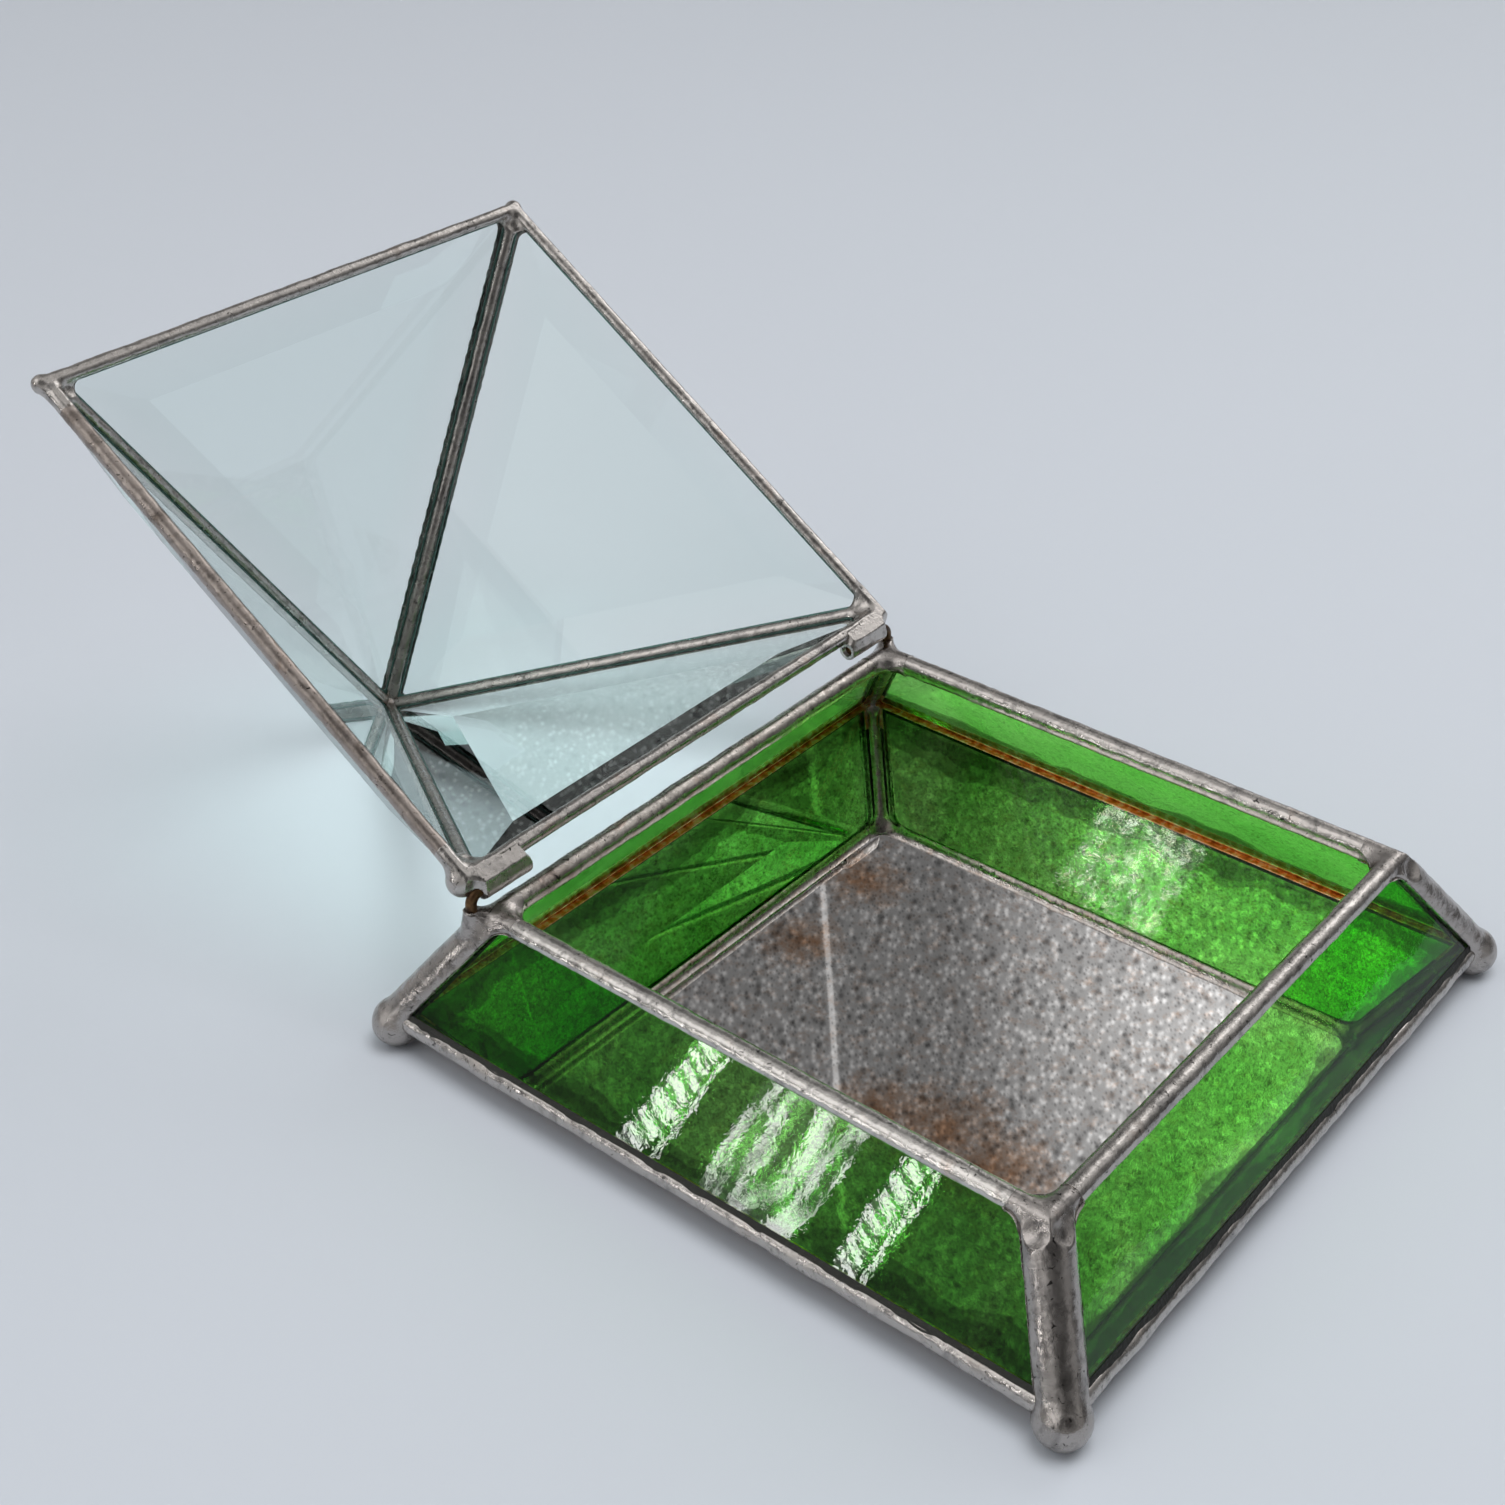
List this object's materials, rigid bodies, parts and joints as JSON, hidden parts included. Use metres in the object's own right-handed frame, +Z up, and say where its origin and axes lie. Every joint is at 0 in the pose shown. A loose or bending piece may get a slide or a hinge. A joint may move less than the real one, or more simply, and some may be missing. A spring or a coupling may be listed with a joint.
{
  "type": "glass casket box",
  "caption": "Keepsake casket: sloped green glass walls on a mirror floor with ball feet, and a hinged pyramid lid of bevelled glass triangles, in soldered foil.",
  "frame": {"origin": "on the table, in the middle of the room that the open box takes up", "axes": "+X to the right seen from the front, +Y towards the hinge at the back, +Z up; the lid stands open"},
  "size_m": [0.1592, 0.2539, 0.1053],
  "materials": {
    "green_glass": "hammered cathedral glass",
    "bevelled_glass": "polished, bevelled",
    "mirror_glass": "silvered, with some ageing",
    "solder": "tin and lead solder with a dull patina",
    "copper_foil": "bare copper foil, tarnished",
    "brass_wire": "darkened",
    "tinned_brass": "tinned"
  },
  "bodies": {
    "base": {"wall_glass_front": "green_glass", "wall_glass_right": "green_glass", "wall_glass_back": "green_glass", "wall_glass_left": "green_glass", "wall_foil_front": "copper_foil", "wall_foil_right": "copper_foil", "wall_foil_back": "copper_foil", "wall_foil_left": "copper_foil", "mirror_floor": "mirror_glass", "floor_foil": "copper_foil", "corner_seam_front_right": "solder", "corner_seam_back_right": "solder", "corner_seam_back_left": "solder", "corner_seam_front_left": "solder", "mouth_rim_front": "solder", "mouth_rim_right": "solder", "mouth_rim_back": "solder", "mouth_rim_left": "solder", "floor_seam_front": "solder", "floor_seam_right": "solder", "floor_seam_back": "solder", "floor_seam_left": "solder", "ball_foot_front_right": "solder", "ball_foot_back_right": "solder", "ball_foot_back_left": "solder", "ball_foot_front_left": "solder", "hinge_pin_left": "brass_wire", "hinge_pin_right": "brass_wire", "pin_solder_left": "solder", "pin_solder_right": "solder"},
    "lid": {"lid_glass_front": "bevelled_glass", "lid_glass_right": "bevelled_glass", "lid_glass_back": "bevelled_glass", "lid_glass_left": "bevelled_glass", "lid_foil_front": "copper_foil", "lid_foil_right": "copper_foil", "lid_foil_back": "copper_foil", "lid_foil_left": "copper_foil", "ridge_seam_front_right": "solder", "ridge_seam_back_right": "solder", "ridge_seam_back_left": "solder", "ridge_seam_front_left": "solder", "lid_rim_front": "solder", "lid_rim_right": "solder", "lid_rim_back": "solder", "lid_rim_left": "solder", "apex_solder": "solder", "hinge_tube_left": "tinned_brass", "hinge_tube_right": "tinned_brass", "hinge_solder_left": "solder", "hinge_solder_right": "solder"}
  },
  "joints": [
    {"name": "lid_hinge", "type": "hinge", "parent": "base", "child": "lid", "pos_m": [0, 0.01631, 0.03339], "axis": [1, 0, 0], "range_deg": [0, 147.7]}
  ]
}
